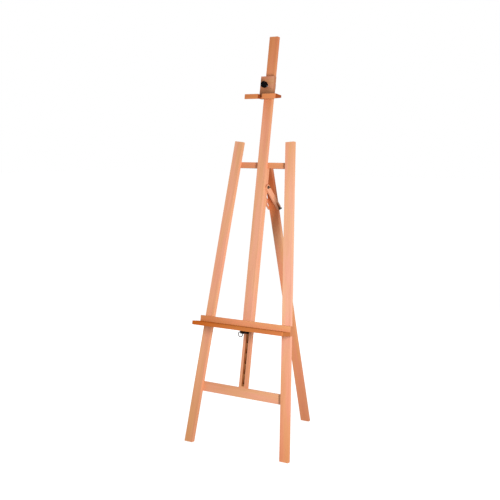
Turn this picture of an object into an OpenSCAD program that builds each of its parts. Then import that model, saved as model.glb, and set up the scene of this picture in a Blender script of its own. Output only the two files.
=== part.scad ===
// Wooden studio easel: a splayed front frame with a grooved centre post, a mast board that slides in
// front of it and carries the tray, a canvas holder that slides on the mast, and a folding rear leg.
// Millimetres, +Z up. The front faces -Y and the feet stand on Z = 0.
// The leaning frame is drawn flat as [across, behind the legs' front faces, up the legs], then tilted.

/* [Timber] */
// Width of the legs, mast and lower crossbar
board_w = 48; // [40:0.5:70]
// Thickness of every planed board
board_t = 19; // [15:0.5:25]

/* [Front frame] */
// Backward lean of the front frame, degrees
frame_lean = 9.57; // [7:0.01:13]
// Half distance between the legs' centre lines at the floor
leg_foot_u = 287.9; // [240:0.1:340]
// Half distance between the legs' centre lines at their tops
leg_top_u = 150.98; // [110:0.1:190]
// Height of the leg tops, measured up the slope
leg_top_v = 1532.9; // [1400:0.1:1650]
// Bottom edge of the lower crossbar, up the slope
low_bar_v = 264; // [200:1:330]
// Bottom edge of the upper crossbar, up the slope
top_bar_v = 1403.5; // [1330:0.5:1460]
// Height of the upper crossbar's section
top_bar_h = 28.5; // [24:0.5:48]
// How far the crossbar ends stop short of the legs' outer edges
bar_inset = 15; // [5:1:25]
// Width of the grooved centre post
post_w = 46; // [40:0.5:60]

/* [Height rack] */
// Spacing of the height notches
rack_pitch = 50.9; // [40:0.1:60]
// Notches below the one in use
notches_below = 5; // [2:1:6]
// Notches above the one in use
notches_above = 7; // [2:1:8]
// Width of the post's groove
groove_w = 16; // [12:0.5:20]
// Depth of the groove behind the teeth
groove_d = 16; // [12:0.5:17]

/* [Mast and tray] */
// Bottom of the mast and underside of the tray, up the slope
mast_bottom_v = 597.5; // [560:0.5:640]
// Top of the mast, up the slope
mast_top_v = 2057.6; // [1900:0.1:2200]
// Overall width of the tray
tray_w = 541; // [440:1:640]
// Depth of the tray ledge from front to back
tray_d = 68.5; // [50:0.5:90]
// Height of the board behind the tray
tray_back_h = 47.5; // [40:0.5:70]

/* [Canvas holder] */
// Bottom of the clamp block, up the slope
block_v = 1744; // [1650:1:1850]
// Height of the clamp block
block_h = 111; // [90:1:130]
// Width of the clamp block
block_w = 78; // [70:1:90]
// Width of the lip that holds the canvas
lip_w = 183; // [150:1:220]
// Diameter of the clamp knob
knob_d = 32; // [24:1:40]

/* [Rear leg] */
// Forward lean of the rear leg, degrees
rear_lean = 14.96; // [12:0.01:18]
// Distance from the rear leg's hinge to its strut bolt
strut_bolt_drop = 230; // [200:1:260]
// Height of the struts' pivot on the post, up the slope
strut_pivot_v = 1310; // [1290:1:1330]
// Width of the wooden struts
strut_w = 28; // [18:0.5:32]

/* [Hidden] */
$fn = 48;
gap = 0.3;                                   // clear space between pieces that move past each other
run_fit = 0.05;                              // radial clearance of a turning or sliding shaft
cut = 1;                                     // how far a cutter runs past a face
half_board = board_w/2;
splay = atan((leg_foot_u - leg_top_u)/leg_top_v);
low_bar_top = low_bar_v + board_w;
top_bar_top = top_bar_v + top_bar_h;
bar_back = 2*board_t;                        // crossbars and post lie in a layer behind the legs
post_mid_n = 1.5*board_t;

// Rack
tooth_tip_n = board_t + 3;
tooth_root_n = board_t + 14;
groove_n = board_t + groove_d;
groove_bottom_v = low_bar_top + 8;
shallow_groove_d = 3;
notch_v = mast_bottom_v - 12.8;              // ledge under the latch at rest
lowest_notch_v = notch_v - notches_below*rack_pitch;
highest_notch_v = notch_v + notches_above*rack_pitch;
rack_top_v = highest_notch_v + 23.5;
rack_side_gap = 0.1;

// Mast
mast_front_n = -0.5;
mast_back_n = mast_front_n + board_t;
runner_w = groove_w - 2*gap;
runner_d = 3;
runner_v = mast_bottom_v + 42.5;
runner_len = 400;
keeper_t = 1.6;
keeper_v = mast_bottom_v + 5.5;
keeper_h = 30;
keeper_front_n = 2;
keeper_back_n = bar_back + 0.4;
keeper_screw_v = [keeper_v + 9.5, keeper_v + 20.5];
keeper_screw_n = 9;

// Tray
tray_front_n = mast_front_n - board_t - tray_d;
tray_back_n = mast_front_n - board_t;
tray_corner_r = 5;
ledge_screw_u = [60, 150, 250];
board_screw_v = [mast_bottom_v + 8.5, mast_bottom_v + 34.5];
board_screw_u = 8;

// Latch
rod_r = 5;
rod_v = notch_v + 4.6;
rod_front_n = -36;
nose_n = 32.4;
nose_flat_n = board_t + 1;
ring_n = -45;
eye_t = 4;
eye_hole_r = 2.9;
ring_wire_r = 2.1;
ring_mid_r = 12.2;
guide_t = 2;
guide_half_w = 20;
guide_front_n = -40;
guide_back_n = 15.5;
lug_n = [-30, 8];
lug_half_w = 12;
lug_v = rod_v - 9.3;
guide_screw_u = 15;
guide_screw_n = [-35, 12];
collar_n = -3.3;
collar_t = 3.3;
collar_r = 6.3;
spring_r = 5.9;
spring_wire_r = 0.6;
spring_turns = 6;
spring_steps = 96;
spring_sides = 8;

// Canvas holder
block_t = board_t + 0.5;
block_back_n = -1;
block_front_n = block_back_n - block_t;
knob_v = block_v + 65;
lip_back_h = 12;
lip_front_h = 23.5;
lip_top_v = block_v + 13.5;
lip_d = 50.5;
lip_notch_w = 25;
lip_notch_d = 28;
lip_screw_u = 28;
lip_screw_v = lip_top_v - 6;
stirrup_t = 1.5;
stirrup_h = 24;
stirrup_in = half_board + gap;
stirrup_ear = 38;
stirrup_screw_u = 32;
stirrup_screw_dv = 6;
insert_r = 6;
clamp_screw_r = 4;
insert_back_n = -6;
pad_r = 8;
pad_front_n = -3.6;
pad_back_n = -0.8;
pad_seat_n = -5;
knob_face_n = block_front_n - 8;
knob_collar_r = 9;
knob_collar_t = 1.5;
knob_len = 28;
flutes = 10;
flute_r = 2.4;

// Hinge of the rear leg
hinge_v = top_bar_top - 9;
hinge_n = bar_back + 3;
leaf_t = 1.5;
leaf_w = 44;
leaf_h = 17;
knuckle_r = 2.7;
pin_r = 1.5;
knuckle_gap = 0.25;
knuckle_edges = [-22, -13.2, -4.4, 4.4, 13.2, 22];
leaf_clear = 3.3;
frame_leaf_screw_u = 8.5;
leg_leaf_screw_u = 14;
leaf_screw_drop = 10.5;
leg_front = hinge_n - bar_back;              // hinge axis to the rear leg's front face
leg_over = 5;                                // how far the rear leg stands above its hinge
leg_mid = leg_front + board_t/2;
rear_leg_len = 1500;

// Struts
bolt_r = 3;
strut_t = 8;
strut_in = half_board + gap;
strut_out = strut_in + strut_t;
strut_pivot_n = post_mid_n;
open_angle = frame_lean + rear_lean;
bolt_dv = strut_bolt_drop*cos(open_angle) - leg_mid*sin(open_angle);
bolt_dn = strut_bolt_drop*sin(open_angle) + leg_mid*cos(open_angle);
link_dv = strut_pivot_v - (hinge_v - bolt_dv);
link_dn = hinge_n + bolt_dn - strut_pivot_n;
link_open = sqrt(link_dv*link_dv + link_dn*link_dn);
link_shut_dv = strut_pivot_v - (hinge_v - strut_bolt_drop);
link_shut_dn = hinge_n + leg_mid - strut_pivot_n;
link_shut = sqrt(link_shut_dv*link_shut_dv + link_shut_dn*link_shut_dn);
strut_lead = 0.7;                            // keeps the bolt near the middle of the slot all the way
strut_angle = atan2(link_dn, link_dv) + strut_lead;
slot_half = bolt_r + 2.3;
slot_far = link_open - 0.4;
slot_near = link_shut - 2;
strut_len = slot_far + slot_half + 5;
washer_r = 8;
washer_t = 1.4;
bolt_head_r = 6;
bolt_head_t = 4;
bolt_tip = 45;

// Screws and dowels
screw_r = 2.1;
small_screw_r = 1.7;
dowel_r = 3;
dowel_u = 15.5;
dowel_half = 20;
big = 3000;

// The rear foot's back edge is the rearmost point, so the footprint's middle follows from it
hinge_y = hinge_v*sin(frame_lean) + hinge_n*cos(frame_lean);
hinge_z = hinge_v*cos(frame_lean) - hinge_n*sin(frame_lean);
rear_foot_y = hinge_y + hinge_z*tan(rear_lean) + (leg_front + board_t)/cos(rear_lean);
mid_y = -rear_foot_y/2;

wood_colour = [0.85, 0.64, 0.44];
dark_wood_colour = [0.42, 0.22, 0.12];
steel_colour = [0.72, 0.73, 0.75];
black_colour = [0.08, 0.08, 0.09];
brass_colour = [0.80, 0.65, 0.35];

// ---- frames of reference ----

module in_frame() {
    translate([0, mid_y, 0]) rotate([-frame_lean, 0, 0]) children();
}

// Rear leg's own frame: origin on the hinge, +Z up the leg, +Y behind it
module in_rear_leg() {
    translate([0, mid_y + hinge_y, hinge_z]) rotate([rear_lean, 0, 0]) children();
}

module above_floor() {
    difference() {
        children();
        translate([-big/2, -big/2, -big]) cube([big, big, big]);
    }
}

module both_sides() {
    children();
    mirror([1, 0, 0]) children();
}

// ---- small shapes ----

// Board given by its limits across, behind and up
module slab(u0, u1, n0, n1, v0, v1) {
    translate([u0, n0, v0]) cube([u1 - u0, n1 - n0, v1 - v0]);
}

module rod_back(r, n0, n1) {
    translate([0, n0, 0]) rotate([-90, 0, 0]) cylinder(r = r, h = n1 - n0);
}

module rod_across(r, u0, u1) {
    translate([u0, 0, 0]) rotate([0, 90, 0]) cylinder(r = r, h = u1 - u0);
}

// Prism whose outline is given as [behind, up]
module across(w) {
    translate([-w/2, 0, 0]) rotate([90, 0, 90]) linear_extrude(w) children();
}

// Wood screw pointing along +Y with its head's seat at the origin; a countersunk head lies behind the seat
module countersunk_screw(r, len) {
    rod_back(r, 0, len);
    rotate([-90, 0, 0]) cylinder(r1 = 2*r, r2 = r, h = r);
}

module pan_screw(r, head_r, head_h, len) {
    rod_back(r, 0, len);
    difference() {
        rod_back(head_r, -head_h, 0);
        translate([-head_r/2, -head_h - cut, -r/4]) cube([head_r, head_h/2 + cut, r/2]);
    }
}

// ---- front frame ----

function leg_u(v) = leg_foot_u - (leg_foot_u - leg_top_u)*v/leg_top_v;

low_bar_half = leg_u(low_bar_v + half_board) + half_board - bar_inset;
top_bar_half = leg_u(top_bar_v + top_bar_h/2) + half_board - bar_inset;
low_screws = [[leg_u(low_bar_v + 12) - 12, low_bar_v + 12], [leg_u(low_bar_top - 12) - 2, low_bar_top - 12]];
top_screws = [[top_bar_half - 24, top_bar_v + 10], [top_bar_half - 10, top_bar_v + 18]];

// Children face forward from the crossbars' back face
module at_crossbar_screws() {
    for (p = concat(low_screws, top_screws))
        both_sides() translate([p[0], bar_back, p[1]]) rotate([0, 0, 180]) children();
}

module at_dowels() {
    for (v = [low_bar_top, top_bar_v])
        both_sides() translate([dowel_u, post_mid_n, v]) children();
}

module dowel(extra) {
    translate([0, 0, -dowel_half]) cylinder(r = dowel_r + extra, h = 2*dowel_half);
}

module right_leg() {
    above_floor() in_frame() difference() {
        translate([leg_foot_u, 0, 0]) rotate([0, -splay, 0])
            slab(-half_board, half_board, 0, board_t, -10, leg_top_v/cos(splay));
        at_crossbar_screws() rod_back(screw_r + run_fit, -cut, 33);
    }
}

module front_leg_right() {
    color(wood_colour) right_leg();
}

module front_leg_left() {
    color(wood_colour) mirror([1, 0, 0]) right_leg();
}

module upper_crossbar() {
    color(wood_colour) in_frame() difference() {
        slab(-top_bar_half, top_bar_half, board_t, bar_back, top_bar_v, top_bar_top);
        at_crossbar_screws() rod_back(screw_r + run_fit, -cut, 33);
        at_dowels() dowel(run_fit);
        at_frame_leaf_screws() countersunk_screw(small_screw_r + run_fit, 12 + gap);
    }
}

module lower_crossbar() {
    color(wood_colour) in_frame() difference() {
        slab(-low_bar_half, low_bar_half, board_t, bar_back, low_bar_v, low_bar_top);
        at_crossbar_screws() rod_back(screw_r + run_fit, -cut, 33);
        at_dowels() dowel(run_fit);
    }
}

module centre_post() {
    color(wood_colour) in_frame() difference() {
        slab(-post_w/2, post_w/2, board_t, bar_back, low_bar_top, top_bar_v);
        slab(-groove_w/2, groove_w/2, board_t - cut, groove_n, groove_bottom_v, rack_top_v + gap);
        slab(-groove_w/2, groove_w/2, board_t - cut, board_t + shallow_groove_d + gap,
             rack_top_v, top_bar_v + cut);
        at_dowels() dowel(run_fit);
        translate([0, strut_pivot_n, strut_pivot_v]) rod_across(bolt_r + run_fit, -half_board, half_board);
    }
}

// Each ledge faces up; the face below it slopes back so that the latch rides over it going up
module rack_strip() {
    teeth = [for (i = [0 : notches_below + notches_above])
        let (v = lowest_notch_v + i*rack_pitch)
        each [[tooth_tip_n, v], [tooth_root_n, v]]];
    foot_n = tooth_tip_n + (tooth_root_n - tooth_tip_n)*(lowest_notch_v - groove_bottom_v - gap)/rack_pitch;
    outline = concat([[groove_n, groove_bottom_v + gap], [foot_n, groove_bottom_v + gap]], teeth,
        [[tooth_root_n, rack_top_v], [groove_n, rack_top_v]]);
    color(dark_wood_colour) in_frame() across(groove_w - 2*rack_side_gap) polygon(outline);
}

module post_dowels() {
    color(wood_colour) in_frame() at_dowels() dowel(0);
}

module crossbar_screws() {
    color(steel_colour) in_frame() at_crossbar_screws() pan_screw(screw_r, 4.4, 2.4, 32);
}

// ---- hinge of the rear leg ----

// Children point into the crossbar from the frame leaf's outer face
module at_frame_leaf_screws() {
    for (u = [-frame_leaf_screw_u, frame_leaf_screw_u])
        translate([u, bar_back + leaf_t, hinge_v - leaf_screw_drop]) rotate([0, 0, 180]) children();
}

// Children point into the rear leg from its leaf's outer face, in the rear leg's frame
module at_leg_leaf_screws() {
    for (u = [-leg_leaf_screw_u, leg_leaf_screw_u])
        translate([u, leg_front - leaf_t, -leaf_screw_drop]) children();
}

// Leaf lying against the plane y = leg_front, with knuckles on the odd or even stretches
module leaf(first) {
    difference() {
        union() {
            slab(-leaf_w/2, leaf_w/2, leg_front - leaf_t, leg_front, -leaf_h, -leaf_clear);
            for (i = [first : 2 : 4]) {
                u0 = knuckle_edges[i] + knuckle_gap;
                u1 = knuckle_edges[i + 1] - knuckle_gap;
                rod_across(knuckle_r, u0, u1);
                slab(u0, u1, leg_front - leaf_t, leg_front, -leaf_clear - cut, 0);
            }
        }
        rod_across(pin_r + run_fit, -leaf_w, leaf_w);
    }
}

module hinge_frame_leaf() {
    color(steel_colour) in_frame() difference() {
        translate([0, hinge_n, hinge_v]) mirror([0, 1, 0]) leaf(0);
        at_frame_leaf_screws() countersunk_screw(small_screw_r + run_fit, 12);
    }
}

module hinge_pin() {
    color(steel_colour) in_frame() translate([0, hinge_n, hinge_v]) {
        rod_across(pin_r, -leaf_w/2 - 1, leaf_w/2 + 1);
        both_sides() rod_across(pin_r + 0.8, leaf_w/2, leaf_w/2 + 1);
    }
}

module hinge_frame_screws() {
    color(steel_colour) in_frame() at_frame_leaf_screws() countersunk_screw(small_screw_r, 12);
}

module hinge_leg_leaf() {
    color(steel_colour) in_rear_leg() difference() {
        leaf(1);
        at_leg_leaf_screws() countersunk_screw(small_screw_r + run_fit, 12);
    }
}

module hinge_leg_screws() {
    color(steel_colour) in_rear_leg() at_leg_leaf_screws() countersunk_screw(small_screw_r, 12);
}

// ---- rear leg and struts ----

module rear_leg() {
    color(wood_colour) above_floor() in_rear_leg() difference() {
        slab(-half_board, half_board, leg_front, leg_front + board_t, -rear_leg_len, leg_over);
        at_leg_leaf_screws() countersunk_screw(small_screw_r + run_fit, 12 + gap);
        translate([0, leg_mid, -strut_bolt_drop]) rod_across(bolt_r + run_fit, -board_w, board_w);
    }
}

module at_strut_bolt() {
    in_rear_leg() translate([0, leg_mid, -strut_bolt_drop]) children();
}

module strut_clamp_bolt() {
    head_u = strut_out + gap + washer_t;
    color(steel_colour) at_strut_bolt() {
        rod_across(bolt_r, -head_u - bolt_head_t, bolt_tip);
        translate([-head_u - bolt_head_t, 0, 0]) rotate([0, 90, 0])
            cylinder(r = bolt_head_r, h = bolt_head_t, $fn = 6);
    }
}

module washer(u0, t) {
    difference() {
        rod_across(washer_r, u0, u0 + t);
        rod_across(bolt_r + run_fit, u0 - cut, u0 + t + cut);
    }
}

module clamp_washers() {
    color(steel_colour) at_strut_bolt() both_sides() washer(strut_out + gap, washer_t);
}

module wing() {
    translate([0, 7, -1]) intersection() {
        cylinder(r = 5, h = 2);
        translate([-3.4, -5, 0]) cube([7.8, 10, 2]);
    }
}

module wing_nut() {
    seat = strut_out + gap + washer_t + gap;
    color(steel_colour) at_strut_bolt() difference() {
        union() {
            translate([seat, 0, 0]) rotate([0, 90, 0]) cylinder(r1 = 5.5, r2 = 4.5, h = 6.5);
            translate([seat + 3.6, 0, 0]) {
                wing();
                rotate([180, 0, 0]) wing();
            }
        }
        rod_across(bolt_r + run_fit, 0, board_w);
    }
}

module strut_pivot_bolt() {
    head_u = strut_out + gap + washer_t;
    color(steel_colour) in_frame() translate([0, strut_pivot_n, strut_pivot_v]) {
        rod_across(bolt_r, -head_u - bolt_head_t, bolt_tip);
        both_sides() translate([head_u, 0, 0]) rotate([0, 90, 0])
            cylinder(r = bolt_head_r, h = bolt_head_t, $fn = 6);
    }
}

module pivot_washers() {
    color(steel_colour) in_frame() translate([0, strut_pivot_n, strut_pivot_v]) both_sides() {
        washer(strut_out + gap, washer_t);
        washer(post_w/2, half_board - post_w/2);
    }
}

module strut() {
    in_frame() translate([0, strut_pivot_n, strut_pivot_v]) rotate([strut_angle, 0, 0]) difference() {
        union() {
            slab(strut_in, strut_out, -strut_w/2, strut_w/2, -strut_len + strut_w/2, 0);
            rod_across(strut_w/2, strut_in, strut_out);
            translate([0, 0, -strut_len + strut_w/2]) rod_across(strut_w/2, strut_in, strut_out);
        }
        rod_across(bolt_r + run_fit, 0, board_w);
        slab(0, board_w, -slot_half, slot_half, -slot_far, -slot_near);
        translate([0, 0, -slot_far]) rod_across(slot_half, 0, board_w);
        translate([0, 0, -slot_near]) rod_across(slot_half, 0, board_w);
    }
}

module strut_right() {
    color(wood_colour) strut();
}

module strut_left() {
    color(wood_colour) mirror([1, 0, 0]) strut();
}

// ---- mast and tray ----

// Children face forward from the mast's back face
module at_board_screws() {
    for (v = board_screw_v)
        both_sides() translate([board_screw_u, mast_back_n - gap, v]) rotate([0, 0, 180]) children();
}

module at_ledge_screws() {
    for (u = ledge_screw_u)
        both_sides() translate([u, mast_front_n - gap, mast_bottom_v + board_t/2])
            rotate([0, 0, 180]) children();
}

// Children point inwards from the keeper's right-hand side
module at_keeper_screws() {
    for (v = keeper_screw_v)
        both_sides() translate([half_board + keeper_t, keeper_screw_n, v]) rotate([0, 0, 90]) children();
}

// Children point up into the mast and tray from the guide plate's underside
module at_guide_screws() {
    for (n = guide_screw_n)
        both_sides() translate([guide_screw_u, n, mast_bottom_v - guide_t]) rotate([90, 0, 0]) children();
}

// Countersunk seat that leaves the head flush or slightly below the face
module screw_cutter(r, len) {
    countersunk_screw(r + run_fit, len + gap);
    rod_back(2*(r + run_fit), -cut, 0);
}

module mast_board() {
    color(wood_colour) in_frame() difference() {
        slab(-half_board, half_board, mast_front_n, mast_back_n, mast_bottom_v, mast_top_v);
        at_board_screws() screw_cutter(screw_r, 32);
        at_keeper_screws() rod_back(small_screw_r + run_fit, -cut, 13.6 + gap);
        at_guide_screws() rod_back(small_screw_r + run_fit, -cut, 14 + gap);
    }
}

module mast_runner() {
    color(wood_colour) in_frame()
        slab(-runner_w/2, runner_w/2, mast_back_n, mast_back_n + runner_d, runner_v, runner_v + runner_len);
}

module mast_keeper() {
    outer = half_board + keeper_t;
    color(steel_colour) in_frame() difference() {
        slab(-outer, outer, keeper_front_n, keeper_back_n + keeper_t, keeper_v, keeper_v + keeper_h);
        slab(-half_board, half_board, keeper_front_n - cut, keeper_back_n,
             keeper_v - cut, keeper_v + keeper_h + cut);
        at_keeper_screws() rod_back(small_screw_r + run_fit, -cut, 13.6);
    }
}

module keeper_screws() {
    color(steel_colour) in_frame() at_keeper_screws() pan_screw(small_screw_r, 3.2, 1.8, 13.6);
}

module tray_back_board() {
    color(wood_colour) in_frame() difference() {
        slab(-tray_w/2, tray_w/2, tray_back_n, mast_front_n, mast_bottom_v, mast_bottom_v + tray_back_h);
        at_board_screws() rod_back(screw_r + run_fit, 0, 32 + gap);
        at_ledge_screws() screw_cutter(screw_r, 46);
    }
}

module corner_cutter() {
    translate([tray_w/2 - tray_corner_r, tray_front_n + tray_corner_r, mast_bottom_v - cut]) difference() {
        translate([0, -2*tray_corner_r, 0]) cube([2*tray_corner_r, 2*tray_corner_r, board_t + 2*cut]);
        translate([0, 0, -cut]) cylinder(r = tray_corner_r, h = board_t + 4*cut);
    }
}

module tray_ledge() {
    color(wood_colour) in_frame() difference() {
        slab(-tray_w/2, tray_w/2, tray_front_n, tray_back_n, mast_bottom_v, mast_bottom_v + board_t);
        both_sides() corner_cutter();
        at_ledge_screws() rod_back(screw_r + run_fit, 0, 46 + gap);
        at_guide_screws() rod_back(small_screw_r + run_fit, -cut, 14 + gap);
    }
}

module tray_screws() {
    color(steel_colour) in_frame() {
        at_board_screws() countersunk_screw(screw_r, 32);
        at_ledge_screws() countersunk_screw(screw_r, 46);
    }
}

// ---- height latch under the tray ----

module latch_guide() {
    plate_v = mast_bottom_v - guide_t;
    color(black_colour) in_frame() difference() {
        union() {
            slab(-guide_half_w, guide_half_w, guide_front_n, guide_back_n, plate_v, mast_bottom_v);
            for (n = lug_n)
                slab(-lug_half_w, lug_half_w, n, n + guide_t, lug_v, mast_bottom_v);
        }
        slab(-9, 9, lug_n[0] + guide_t, lug_n[1], plate_v - cut, mast_bottom_v + cut);
        translate([0, 0, rod_v]) rod_back(rod_r + run_fit, guide_front_n, guide_back_n);
        at_guide_screws() rod_back(small_screw_r + run_fit, -cut, guide_t + cut);
    }
}

module latch_guide_screws() {
    color(black_colour) in_frame() at_guide_screws() pan_screw(small_screw_r, 3.2, 1.8, 14);
}

module latch_bolt() {
    slope = (tooth_root_n - tooth_tip_n)/rack_pitch;
    color(black_colour) in_frame() difference() {
        union() {
            translate([0, 0, rod_v]) {
                rod_back(rod_r, rod_front_n - 2, nose_n);
                rod_back(collar_r, collar_n, collar_n + collar_t);
                rod_across(rod_r - 0.5, -eye_t/2, eye_t/2);
                translate([0, ring_n, 0]) rod_across(rod_r - 0.5, -eye_t/2, eye_t/2);
                slab(-eye_t/2, eye_t/2, ring_n, rod_front_n, -rod_r + 0.5, rod_r - 0.5);
            }
        }
        slab(-rod_r - cut, rod_r + cut, nose_flat_n, nose_n + cut, rod_v - rod_r - cut, notch_v + gap);
        translate([0, nose_n, rod_v - rod_r]) rotate([atan(slope), 0, 0]) slab(-10, 10, 0, 10, -5, 20);
        translate([0, ring_n, rod_v]) rod_across(eye_hole_r, -board_w, board_w);
    }
}

function spring_point(i, k) =
    let (turn = 360*spring_turns*i/spring_steps,
         side = 360*k/spring_sides,
         length = collar_n - lug_n[0] - guide_t - 2*spring_wire_r - 2*gap,
         r = spring_r + spring_wire_r*cos(side))
    [r*cos(turn), lug_n[0] + guide_t + gap + spring_wire_r + length*i/spring_steps + spring_wire_r*sin(side),
     rod_v + r*sin(turn)];

module latch_spring() {
    points = [for (i = [0 : spring_steps]) for (k = [0 : spring_sides - 1]) spring_point(i, k)];
    walls = [for (i = [0 : spring_steps - 1]) for (k = [0 : spring_sides - 1])
        let (a = i*spring_sides + k,
             b = i*spring_sides + (k + 1)%spring_sides)
        each [[a, a + spring_sides, b], [b, a + spring_sides, b + spring_sides]]];
    start = [[for (k = [0 : spring_sides - 1]) k]];
    end = [[for (k = [spring_sides - 1 : -1 : 0]) spring_steps*spring_sides + k]];
    color(black_colour) in_frame() polyhedron(points = points, faces = concat(walls, start, end));
}

// The ring hangs straight down from the eye at the latch's front end
module pull_ring() {
    y = ring_n*cos(frame_lean) + rod_v*sin(frame_lean);
    z = rod_v*cos(frame_lean) - ring_n*sin(frame_lean);
    color(black_colour) translate([0, mid_y + y, z - ring_mid_r]) rotate([90, 0, 0])
        rotate_extrude() translate([ring_mid_r, 0]) circle(r = ring_wire_r, $fn = 16);
}

// ---- canvas holder ----

module at_lip_screws() {
    both_sides() translate([lip_screw_u, block_back_n - gap, lip_screw_v]) rotate([0, 0, 180]) children();
}

module at_stirrup_screws() {
    for (dv = [-stirrup_screw_dv, stirrup_screw_dv])
        both_sides() translate([stirrup_screw_u, block_back_n + stirrup_t, knob_v + dv])
            rotate([0, 0, 180]) children();
}

module clamp_block() {
    color(wood_colour) in_frame() difference() {
        slab(-block_w/2, block_w/2, block_front_n, block_back_n, block_v, block_v + block_h);
        at_lip_screws() screw_cutter(screw_r, 44);
        at_stirrup_screws() rod_back(small_screw_r + run_fit, -cut, 15 + gap);
        translate([0, 0, knob_v]) {
            rod_back(clamp_screw_r + 1, block_front_n - cut, block_back_n + cut);
            rod_back(insert_r, block_front_n + 3, block_back_n + cut);
            rod_back(pad_r + run_fit, pad_seat_n, block_back_n + cut);
        }
    }
}

module canvas_lip() {
    back_n = block_front_n;
    front_n = back_n - lip_d;
    outline = [[front_n, lip_top_v], [back_n, lip_top_v], [back_n, lip_top_v - lip_back_h],
        [front_n + 6, lip_top_v - lip_front_h], [front_n, lip_top_v - lip_front_h]];
    color(wood_colour) in_frame() difference() {
        across(lip_w) polygon(outline);
        slab(-lip_notch_w/2, lip_notch_w/2, front_n - cut, front_n + lip_notch_d,
             block_v - 50, lip_top_v + cut);
        at_lip_screws() rod_back(screw_r + run_fit, 0, 44 + gap);
    }
}

module lip_screws() {
    color(steel_colour) in_frame() at_lip_screws() countersunk_screw(screw_r, 44);
}

module clamp_stirrup() {
    outer = stirrup_in + stirrup_t;
    v0 = knob_v - stirrup_h/2;
    v1 = knob_v + stirrup_h/2;
    back = mast_back_n + gap;
    color(steel_colour) in_frame() difference() {
        union() {
            slab(-outer, outer, block_back_n, back + stirrup_t, v0, v1);
            slab(-stirrup_ear, stirrup_ear, block_back_n, block_back_n + stirrup_t, v0, v1);
        }
        slab(-stirrup_in, stirrup_in, block_back_n - cut, back, v0 - cut, v1 + cut);
        at_stirrup_screws() rod_back(small_screw_r + run_fit, -cut, 15);
    }
}

module stirrup_screws() {
    color(steel_colour) in_frame() at_stirrup_screws() pan_screw(small_screw_r, 3.2, 1.8, 15);
}

module threaded_insert() {
    color(brass_colour) in_frame() translate([0, 0, knob_v]) difference() {
        rod_back(insert_r, block_front_n + 3, insert_back_n);
        rod_back(clamp_screw_r + run_fit, block_front_n, 0);
    }
}

module pressure_pad() {
    color(brass_colour) in_frame() translate([0, 0, knob_v]) rod_back(pad_r, pad_front_n, pad_back_n);
}

module knob_screw() {
    color(steel_colour) in_frame() translate([0, 0, knob_v]) {
        rod_back(clamp_screw_r, knob_face_n - 12, pad_front_n - gap);
        rod_back(knob_collar_r, block_front_n - gap - knob_collar_t, block_front_n - gap);
    }
}

module clamp_knob() {
    bore_r = clamp_screw_r + run_fit;
    bore_len = 12 + run_fit;
    outline = [[bore_r, 0], [8, 0], [8, 4], [12, 6], [knob_d/2, 8.5], [knob_d/2, knob_len - 4.5],
        [knob_d/2 - 1.2, knob_len - 2], [knob_d/2 - 4, knob_len - 0.5], [0, knob_len],
        [0, bore_len], [bore_r, bore_len]];
    color(black_colour) in_frame() translate([0, knob_face_n, knob_v]) rotate([90, 0, 0]) difference() {
        rotate_extrude() polygon(outline);
        for (i = [0 : flutes - 1])
            rotate([0, 0, 360*i/flutes]) translate([knob_d/2 + 1.2, 0, 5])
                cylinder(r = flute_r, h = knob_len, $fn = 20);
    }
}

front_leg_left();
front_leg_right();
upper_crossbar();
lower_crossbar();
centre_post();
rack_strip();
post_dowels();
crossbar_screws();
hinge_frame_leaf();
hinge_pin();
hinge_frame_screws();
strut_pivot_bolt();
pivot_washers();
mast_board();
mast_runner();
mast_keeper();
keeper_screws();
tray_back_board();
tray_ledge();
tray_screws();
latch_guide();
latch_guide_screws();
latch_bolt();
latch_spring();
pull_ring();
clamp_block();
canvas_lip();
lip_screws();
clamp_stirrup();
stirrup_screws();
threaded_insert();
pressure_pad();
knob_screw();
clamp_knob();
rear_leg();
hinge_leg_leaf();
hinge_leg_screws();
strut_clamp_bolt();
clamp_washers();
wing_nut();
strut_left();
strut_right();
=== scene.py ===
"""Looks for the wooden artist easel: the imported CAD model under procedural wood, steel and plastic,
on a plain pale floor under soft studio light."""

import math

import bpy
from mathutils import Matrix, Vector


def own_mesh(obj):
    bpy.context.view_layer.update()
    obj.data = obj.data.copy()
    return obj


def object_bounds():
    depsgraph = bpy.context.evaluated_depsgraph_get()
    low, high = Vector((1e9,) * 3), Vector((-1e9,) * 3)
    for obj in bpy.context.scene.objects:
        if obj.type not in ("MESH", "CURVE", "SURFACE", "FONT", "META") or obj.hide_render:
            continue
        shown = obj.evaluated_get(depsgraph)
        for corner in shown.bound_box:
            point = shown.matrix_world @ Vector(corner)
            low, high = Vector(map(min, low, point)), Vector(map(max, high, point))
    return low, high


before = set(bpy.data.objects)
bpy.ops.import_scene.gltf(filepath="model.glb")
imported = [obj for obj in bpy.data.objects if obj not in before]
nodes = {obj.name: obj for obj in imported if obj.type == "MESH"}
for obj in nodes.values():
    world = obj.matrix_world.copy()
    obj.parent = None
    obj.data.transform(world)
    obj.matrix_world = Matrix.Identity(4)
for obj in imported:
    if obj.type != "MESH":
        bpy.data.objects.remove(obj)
cad_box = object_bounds()

# ---------------------------------------------------------------- camera

# metres, degrees and millimetres, fitted so that the CAD's board edges lie over the photograph's
CAMERA_AT = (2.7874, -4.18625, 1.5341)
TURNED_LEFT, LOOKING_DOWN = 34.97, 6.46
LENS, SENSOR = 71.8, 36.0
NEAREST, FARTHEST = 0.05, 60.0

cam_data = bpy.data.cameras.new("camera")
cam_data.lens = LENS
cam_data.sensor_width = SENSOR
cam_data.clip_start = NEAREST
cam_data.clip_end = FARTHEST
cam = bpy.data.objects.new("camera", cam_data)
cam.location = CAMERA_AT
cam.rotation_euler = (math.radians(90 - LOOKING_DOWN), 0, math.radians(TURNED_LEFT))
bpy.context.scene.collection.objects.link(cam)
bpy.context.scene.camera = cam
bpy.context.scene.view_settings.view_transform = "Standard"

# ---------------------------------------------------------------- the boards' directions

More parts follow.
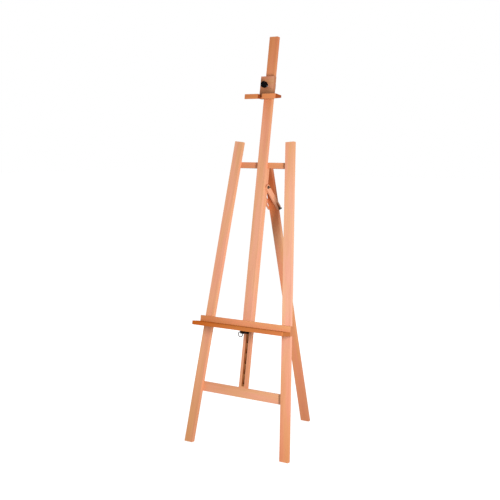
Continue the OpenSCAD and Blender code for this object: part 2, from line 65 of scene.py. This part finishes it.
# degrees and millimetres, as in the part's source, which works the struts' lean out from their two bolts
FRAME_LEAN = 9.57
REAR_LEAN = 14.96
STRUT_LEAN = 53.36
LEG_FOOT_U, LEG_TOP_U, LEG_TOP_V = 287.9, 150.98, 1532.9
SPLAY = math.degrees(math.atan((LEG_FOOT_U - LEG_TOP_U) / LEG_TOP_V))


def turned(degrees, axis):
    return Matrix.Rotation(math.radians(degrees), 3, axis)


# each turns Z to where the board's grain runs
UP = turned(-FRAME_LEAN, "X")
ACROSS = UP @ turned(90, "Y")
REAR = turned(REAR_LEAN, "X")
LEFT_LEG = UP @ turned(SPLAY, "Y")
RIGHT_LEG = UP @ turned(-SPLAY, "Y")
STRUT = UP @ turned(STRUT_LEAN, "X")

# where the front legs' faces meet the floor, from which places along the grain are counted
FOOT_LINE = Vector((0, cad_box[0][1], 0))

# ---------------------------------------------------------------- node helpers


class Graph:
    """Builds one material's node tree with short calls. Colours are (red, green, blue)."""

    def __init__(self, name):
        self.mat = bpy.data.materials.new(name)
        self.mat.use_nodes = True
        self.tree = self.mat.node_tree
        self.tree.nodes.clear()
        self.bsdf = self.tree.nodes.new("ShaderNodeBsdfPrincipled")
        out = self.tree.nodes.new("ShaderNodeOutputMaterial")
        self.tree.links.new(self.bsdf.outputs[0], out.inputs[0])

    def put(self, socket, value):
        """Links a socket or a node's first output to this socket, or sets a plain value on it."""
        if isinstance(value, bpy.types.Node):
            value = value.outputs[0]
        if isinstance(value, bpy.types.NodeSocket):
            self.tree.links.new(value, socket)
        elif socket.type == "RGBA":
            socket.default_value = (*value, 1.0)
        else:
            socket.default_value = value

    def node(self, kind, inputs=None, **settings):
        new = self.tree.nodes.new("ShaderNode" + kind)
        for name, value in settings.items():
            setattr(new, name, value)
        for name, value in (inputs or {}).items():
            self.put(new.inputs[name], value)
        return new

    def coordinates(self, kind):
        return self.node("TexCoord").outputs[kind]

    def math(self, operation, a, b=0.0):
        return self.node("Math", {0: a, 1: b}, operation=operation).outputs[0]

    def plus(self, a, b):
        return self.math("ADD", a, b)

    def times(self, a, b):
        return self.math("MULTIPLY", a, b)

    def mix(self, factor, a, b, blend="MIX"):
        inputs = {"Factor": factor, "A": a, "B": b}
        return self.node("Mix", inputs, data_type="RGBA", blend_type=blend).outputs["Result"]

    def noise(self, vector, scale, detail, rough=0.5):
        inputs = {"Vector": vector, "Scale": scale, "Detail": detail, "Roughness": rough}
        return self.node("TexNoise", inputs).outputs["Fac"]

    def ramp(self, factor, stops):
        new = self.node("ValToRGB", {"Fac": factor})
        elements = new.color_ramp.elements
        while len(elements) < len(stops):
            elements.new(0.5)
        for element, (position, colour) in zip(elements, stops):
            element.position = position
            element.color = (*colour, 1.0)
        return new.outputs["Color"]

    def span(self, value, low, high, to_low=0.0, to_high=1.0):
        inputs = {"Value": value, "From Min": low, "From Max": high, "To Min": to_low, "To Max": to_high}
        return self.node("MapRange", inputs).outputs["Result"]

    def bump(self, height, strength, distance):
        inputs = {"Height": height, "Strength": strength, "Distance": distance}
        return self.node("Bump", inputs).outputs["Normal"]

    def surface(self, inputs):
        """Links or sets the shader's sockets and returns the finished material."""
        for name, value in inputs.items():
            self.put(self.bsdf.inputs[name], value)
        return self.mat


# ---------------------------------------------------------------- wood

# how far one unit of seed moves the figure, in metres
SEED_STEP = (0.31, 0.17, 0.73)
# growth rings per metre of wood, and by how many of them their line wanders
RINGS, RING_WANDER = 260.0, 17.0
# what end grain keeps of a board's tone, and what the post's groove keeps of it as painted shade in the
# recess
END_KEEPS = (0.66, 0.55, 0.48)
GROOVE_SHADE_KEEPS = (0.44, 0.28, 0.17)
# just outside the groove's wall, its mouth behind the legs' front faces, and the fade at both, in metres
GROOVE_HALF, GROOVE_MOUTH, GROOVE_FADE = 0.0081, 0.0193, 0.0003


def drawn_out(g, at, share, shift=(0.0, 0.0, 0.0)):
    """Texture space in which only a share of the board's length counts, so that patterns run along it."""
    return g.node("Mapping", {"Vector": at, "Scale": (1.0, 1.0, share), "Location": shift})


def late_wood(g, at):
    """Growth rings: distance from a pith line that lies outside the board and wanders along it."""
    wander = g.noise(drawn_out(g, at, 0.07), scale=7.0, detail=3.0, rough=0.55)
    pith = g.node("VectorMath", {0: at, 1: (1.0, 1.0, 0.0)}, operation="MULTIPLY")
    radius = g.node("VectorMath", {0: pith}, operation="LENGTH").outputs["Value"]
    ring = g.math("FRACT", g.plus(g.times(radius, RINGS), g.times(wander, RING_WANDER)))
    return g.math("POWER", g.span(ring, 0.35, 1.0), 2.2)


def figure(g, at, fibre, late, fleck):
    """What the wood's figure keeps of the board's tone."""
    broad = g.noise(drawn_out(g, at, 0.07), scale=26.0, detail=3.0, rough=0.55)
    mottle = g.plus(g.times(broad, 0.62), g.times(fibre, 0.38))
    keep = g.ramp(mottle, [(0.30, (0.86, 0.80, 0.72)), (0.50, (1.0, 1.0, 1.0)), (0.70, (1.10, 1.17, 1.24))])
    hue = g.noise(drawn_out(g, at, 0.12, shift=(3.0, 1.0, 2.0)), scale=34.0, detail=2.0)
    hue_keeps = g.ramp(hue, [(0.36, (0.98, 1.03, 0.93)), (0.64, (1.02, 0.97, 1.08))])
    keep = g.mix(1.0, keep, hue_keeps, "MULTIPLY")
    keep = g.mix(g.times(late, 0.26), keep, (0.84, 0.74, 0.64))
    return g.mix(g.times(fleck, 0.30), keep, (0.50, 0.42, 0.34))


def groove_shade_mask(g, place):
    """Mask of the painted shade in the post's groove: 1 on the groove's walls and floor, 0 on the rest of
    the board.
    """
    beside = g.span(g.math("ABSOLUTE", place.outputs["X"]), GROOVE_HALF + GROOVE_FADE, GROOVE_HALF)
    behind = g.span(place.outputs["Y"], GROOVE_MOUTH, GROOVE_MOUTH + 2 * GROOVE_FADE)
    return g.times(beside, behind)


def slow_tone(g, height, tones):
    """The board's tone, which changes slowly along it, or is even where one tone is given."""
    if len(tones) == 1:
        return tones[0][1]
    first, last = tones[0][0], tones[-1][0]
    stops = [((at - first) / (last - first), colour) for at, colour in tones]
    return g.ramp(g.span(height, first, last), stops)


def wood(name, seed, grain, tones, end=END_KEEPS, groove_shaded=False, gloss=0.46, shine=0.30):
    """Planed beech: growth rings and fibre along the board's own length, ray flecks, darker end grain.

    seed moves the figure to another part of the tree. tones lists (metres along the grain, colour), end is
    what end grain keeps of the tone, a grooved board gets painted shade inside its groove, gloss the
    roughness and shine the specular level."""
    g = Graph(name)
    back = grain.transposed()
    turn = back.to_euler()
    shift = back @ -FOOT_LINE
    own = g.node("Mapping", {"Vector": g.coordinates("Object"), "Rotation": turn, "Location": shift})
    moved = tuple(step * seed for step in SEED_STEP)
    at = g.node("VectorMath", {0: own, 1: moved}, operation="ADD")
    facing = g.node("Mapping", {"Vector": g.coordinates("Normal"), "Rotation": turn}, vector_type="NORMAL")
    place = g.node("SeparateXYZ", {"Vector": own})

    late = late_wood(g, at)
    fibre = g.noise(drawn_out(g, at, 0.018), scale=900.0, detail=3.0, rough=0.6)
    fleck = g.span(g.noise(drawn_out(g, at, 0.05), scale=1500.0, detail=1.0, rough=0.4), 0.66, 0.74)
    facing_z = g.node("SeparateXYZ", {"Vector": facing}).outputs["Z"]
    end_grain = g.span(g.math("ABSOLUTE", facing_z), 0.45, 0.90)

    keep = g.mix(g.times(end_grain, 0.9), figure(g, at, fibre, late, fleck), end)
    # painted shade: the inside of the post's groove is darkened
    if groove_shaded:
        keep = g.mix(groove_shade_mask(g, place), keep, GROOVE_SHADE_KEEPS)
    uneven = g.span(fibre, 0.3, 0.7, gloss - 0.05, gloss + 0.07)
    relief = g.plus(g.plus(g.times(fibre, 0.6), g.times(fleck, -0.8)), g.times(late, 0.25))
    return g.surface({
        "Base Color": g.mix(1.0, slow_tone(g, place.outputs["Z"], tones), keep, "MULTIPLY"),
        "Roughness": g.plus(uneven, g.times(end_grain, 0.2)),
        "Normal": g.bump(relief, strength=0.25, distance=0.0004),
        "IOR": 1.47,
        "Specular IOR Level": shine,
    })


# Tones run from the floor up, or from left to right: partly the wood's own tone, partly painted light and
# shade along each board. The ledge and the lip are duller than the others.
# The order gives each board its seed.
BOARDS = {
    "front_leg_left": dict(grain=LEFT_LEG, tones=[
        (0.0, (0.67, 0.29, 0.13)),
        (0.6, (0.69, 0.31, 0.165)),
        (1.1, (0.70, 0.325, 0.185)),
        (1.5, (0.68, 0.325, 0.175)),
    ]),
    "front_leg_right": dict(grain=RIGHT_LEG, tones=[
        (0.0, (0.64, 0.24, 0.105)),
        (0.35, (0.66, 0.285, 0.155)),
        (0.7, (0.66, 0.335, 0.21)),
        (1.15, (0.66, 0.33, 0.205)),
        (1.5, (0.65, 0.305, 0.16)),
    ]),
    "upper_crossbar": dict(grain=ACROSS, tones=[
        (-0.2, (0.63, 0.235, 0.108)),
        (0.2, (0.61, 0.24, 0.118)),
    ]),
    "lower_crossbar": dict(grain=ACROSS, tones=[
        (-0.25, (0.70, 0.31, 0.16)),
        (0.25, (0.685, 0.33, 0.19)),
    ]),
    # the post's groove gets painted shade
    "centre_post": dict(grain=UP, groove_shaded=True, tones=[
        (0.3, (0.62, 0.255, 0.12)),
        (0.7, (0.66, 0.30, 0.17)),
        (1.4, (0.66, 0.29, 0.15)),
    ]),
    "post_dowels": dict(grain=UP, tones=[(1.0, (0.60, 0.27, 0.14))]),
    "mast_board": dict(grain=UP, tones=[
        (0.6, (0.665, 0.31, 0.19)),
        (1.2, (0.655, 0.31, 0.18)),
        (1.6, (0.655, 0.285, 0.147)),
        (1.8, (0.635, 0.243, 0.107)),
        (2.05, (0.59, 0.203, 0.076)),
    ]),
    "mast_runner": dict(grain=UP, tones=[(1.0, (0.60, 0.27, 0.14))]),
    "tray_back_board": dict(grain=ACROSS, tones=[
        (-0.27, (0.605, 0.224, 0.074)),
        (0.0, (0.655, 0.268, 0.118)),
        (0.27, (0.63, 0.275, 0.128)),
    ]),
    "tray_ledge": dict(grain=ACROSS, end=(0.73, 0.70, 0.66), shine=0.0, tones=[
        (-0.27, (0.48, 0.112, 0.012)),
        (0.0, (0.48, 0.150, 0.038)),
        (0.27, (0.50, 0.165, 0.054)),
    ]),
    "clamp_block": dict(grain=ACROSS, tones=[
        (-0.04, (0.485, 0.184, 0.080)),
        (0.0, (0.512, 0.207, 0.097)),
        (0.04, (0.62, 0.29, 0.155)),
    ]),
    # the lip's end grain is kept far darker than other boards': partly the end grain's own darkness, partly
    # painted shade in the lip's centre notch and on its right end
    "canvas_lip": dict(grain=ACROSS, end=(0.38, 0.19, 0.07), shine=0.08, tones=[
        (-0.09, (0.56, 0.195, 0.068)),
        (0.09, (0.67, 0.243, 0.088)),
    ]),
    # painted shadow: the rear leg's tone dips to about half from 1.05 m to 1.31 m along it, where shade from
    # the parts in front of it falls; the lighter stretch at 1.38 m to 1.42 m is painted light over the shade
    # under the upper crossbar
    "rear_leg": dict(grain=REAR, tones=[
        (0.2, (0.67, 0.25, 0.112)),
        (0.65, (0.69, 0.275, 0.13)),
        (0.9, (0.67, 0.33, 0.185)),
        (1.05, (0.68, 0.20, 0.065)),
        (1.13, (0.50, 0.15, 0.048)),
        (1.20, (0.38, 0.10, 0.028)),
        (1.31, (0.46, 0.17, 0.068)),
        (1.38, (0.64, 0.32, 0.17)),
        (1.42, (0.66, 0.34, 0.19)),
    ]),
    "strut_left": dict(grain=STRUT, tones=[(0.0, (0.64, 0.27, 0.13))]),
    "strut_right": dict(grain=STRUT, tones=[(0.0, (0.66, 0.30, 0.15))]),
}

# painted shade: the rack strip is the same beech, its tone darkened for the shade of the groove it sits in
RACK_SHADE_TONE = (0.30, 0.11, 0.032)

# widths of the rounded edges, in metres
BOARD_EDGE, RACK_EDGE, METAL_EDGE, KNOB_EDGE = 0.0012, 0.0006, 0.0003, 0.0006


def dress(node, material):
    """Puts one material on all of a CAD node."""
    slots = nodes[node].data.materials
    slots.clear()
    slots.append(material)


def soften(node, width, segments, limit=40):
    """Rounds a CAD node's edges that turn by more than limit degrees."""
    edges = nodes[node].modifiers.new("edges", "BEVEL")
    edges.width = width
    edges.segments = segments
    edges.limit_method = "ANGLE"
    edges.angle_limit = math.radians(limit)
    edges.harden_normals = True


for place, (node, looks) in enumerate(BOARDS.items()):
    dress(node, wood("wood_" + node, seed=1.0 + 0.61 * place, **looks))
    soften(node, BOARD_EDGE, segments=3)

dress("rack_strip", wood("wood_rack", seed=12.7, grain=UP, tones=[(0.0, RACK_SHADE_TONE)], gloss=0.5))
soften("rack_strip", RACK_EDGE, segments=2)

# ---------------------------------------------------------------- metal and plastic

# specular levels of bright and of matt finishes
BRIGHT, MATT = 0.5, 0.05


def toned(colour, gain, warm=0.0):
    """The colour made lighter or darker, and warmer or cooler."""
    red, green, blue = colour
    return (red * gain * (1 + warm), green * gain, blue * gain * (1 - warm))


def metal(name, colour, rough, metallic=1.0, shine=BRIGHT):
    """Plated or blackened steel, or brass: a faintly cloudy finish and fine random scuffs."""
    g = Graph(name)
    at = g.coordinates("Object")
    cloud = g.noise(at, scale=60.0, detail=4.0, rough=0.6)
    brushed = g.node("Mapping", {"Vector": at, "Scale": (1.0, 0.12, 1.0)})
    scuff = g.noise(brushed, scale=900.0, detail=3.0, rough=0.7)
    uneven = g.span(cloud, 0.3, 0.7, rough - 0.06, rough + 0.06)
    return g.surface({
        "Base Color": g.mix(g.span(cloud, 0.35, 0.65), colour, toned(colour, 0.86, warm=-0.02)),
        "Metallic": metallic,
        "Roughness": g.plus(uneven, g.span(scuff, 0.4, 0.7, 0.0, 0.08)),
        "Normal": g.bump(scuff, strength=0.15, distance=0.0001),
        "Specular IOR Level": shine,
    })


def plastic(name, colour, rough):
    """Moulded plastic: very fine pebble and a slightly uneven sheen."""
    g = Graph(name)
    at = g.coordinates("Object")
    pebble = g.noise(at, scale=1800.0, detail=2.0)
    sheen = g.noise(at, scale=90.0, detail=3.0)
    return g.surface({
        "Base Color": g.mix(sheen, colour, toned(colour, 1.5)),
        "Roughness": g.span(sheen, 0.3, 0.7, rough - 0.05, rough + 0.08),
        "Normal": g.bump(pebble, strength=0.2, distance=0.0001),
        "Specular IOR Level": MATT,
    })


zinc = metal("zinc_steel", (0.62, 0.63, 0.65), rough=0.32)
dark_steel = metal("dark_steel", (0.20, 0.155, 0.12), rough=0.42)
black_steel = metal("black_steel", (0.020, 0.008, 0.006), rough=0.55, metallic=0.0, shine=MATT)
ring_wire = metal("ring_wire", (0.050, 0.038, 0.034), rough=0.45, metallic=0.0, shine=MATT)
brass = metal("turned_brass", (0.78, 0.58, 0.26), rough=0.28)
black_plastic = plastic("black_plastic", (0.0015, 0.0014, 0.0018), rough=0.55)

FINISHES = [
    (zinc, ["crossbar_screws", "hinge_frame_leaf", "hinge_frame_screws", "hinge_pin", "hinge_leg_leaf",
            "hinge_leg_screws", "mast_keeper", "keeper_screws", "tray_screws", "clamp_stirrup",
            "stirrup_screws", "lip_screws", "knob_screw"]),
    (dark_steel, ["strut_pivot_bolt", "pivot_washers", "strut_clamp_bolt", "clamp_washers", "wing_nut"]),
    (black_steel, ["latch_guide", "latch_guide_screws", "latch_bolt"]),
    (ring_wire, ["pull_ring", "latch_spring"]),
    (brass, ["threaded_insert", "pressure_pad"]),
    (black_plastic, ["clamp_knob"]),
]
for material, names in FINISHES:
    for node in names:
        dress(node, material)

ROUNDED = ["mast_keeper", "clamp_stirrup", "hinge_frame_leaf", "hinge_leg_leaf", "latch_guide", "latch_bolt",
           "wing_nut", "strut_clamp_bolt", "strut_pivot_bolt", "clamp_washers", "pivot_washers",
           "crossbar_screws"]
for node in ROUNDED:
    soften(node, METAL_EDGE, segments=2)
soften("clamp_knob", KNOB_EDGE, segments=3, limit=30)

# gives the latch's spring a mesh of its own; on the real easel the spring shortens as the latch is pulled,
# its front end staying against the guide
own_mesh(nodes["latch_spring"])

# ---------------------------------------------------------------- floor and light

# how far the floor reaches, in metres, and its glow, which keeps it white and thin dark pieces dark
FLOOR_REACH, FLOOR_GLOW = 30, 0.84
WHITE = (1.0, 1.0, 1.0)
# how strongly the backdrop lights the easel, and how bright the camera sees it
AMBIENT, SEEN = 0.58, 1.0


def floor_paper():
    """Plain pale paper, faintly mottled."""
    g = Graph("floor_paper")
    mottle = g.noise(g.coordinates("Object"), scale=3.0, detail=2.0)
    return g.surface({
        "Base Color": g.mix(mottle, (0.29, 0.29, 0.29), (0.31, 0.31, 0.31)),
        "Roughness": 0.85,
        "Emission Color": WHITE,
        "Emission Strength": FLOOR_GLOW,
        "Specular IOR Level": 0.0,
    })


mesh = bpy.data.meshes.new("floor")
corners = [(x * FLOOR_REACH, y * FLOOR_REACH, 0) for x, y in ((-1, -1), (1, -1), (1, 1), (-1, 1))]
mesh.from_pydata(corners, [], [(0, 1, 2, 3)])
mesh.materials.append(floor_paper())
floor = bpy.data.objects.new("floor", mesh)
floor.visible_diffuse = False
floor.visible_glossy = False
bpy.context.scene.collection.objects.link(floor)

world = bpy.data.worlds.new("studio")
world.use_nodes = True
bpy.context.scene.world = world
tree = world.node_tree
backdrop = tree.nodes["Background"]
backdrop.inputs["Color"].default_value = (*WHITE, 1.0)
path = tree.nodes.new("ShaderNodeLightPath")
level = tree.nodes.new("ShaderNodeMapRange")
level.inputs["To Min"].default_value = AMBIENT
level.inputs["To Max"].default_value = SEEN
tree.links.new(path.outputs["Is Camera Ray"], level.inputs["Value"])
tree.links.new(level.outputs["Result"], backdrop.inputs["Strength"])


def lamp(name, at, to, size, power):
    """A soft rectangular light of that width and height, in metres, and that power in watts."""
    data = bpy.data.lights.new(name, "AREA")
    data.shape = "RECTANGLE"
    data.size, data.size_y = size
    data.energy = power
    light = bpy.data.objects.new(name, data)
    light.location = at
    light.rotation_euler = (Vector(to) - Vector(at)).to_track_quat("-Z", "Y").to_euler()
    bpy.context.scene.collection.objects.link(light)
    return light


lamp("softbox", at=(1.74, -1.47, 1.17), to=(0, -0.1, 0.95), size=(0.36, 0.9), power=55)
back_fill = lamp("back_fill", at=(-2.1, 2.4, 1.7), to=(0, 0.1, 0.95), size=(1.4, 1.4), power=60)
back_fill.visible_glossy = False
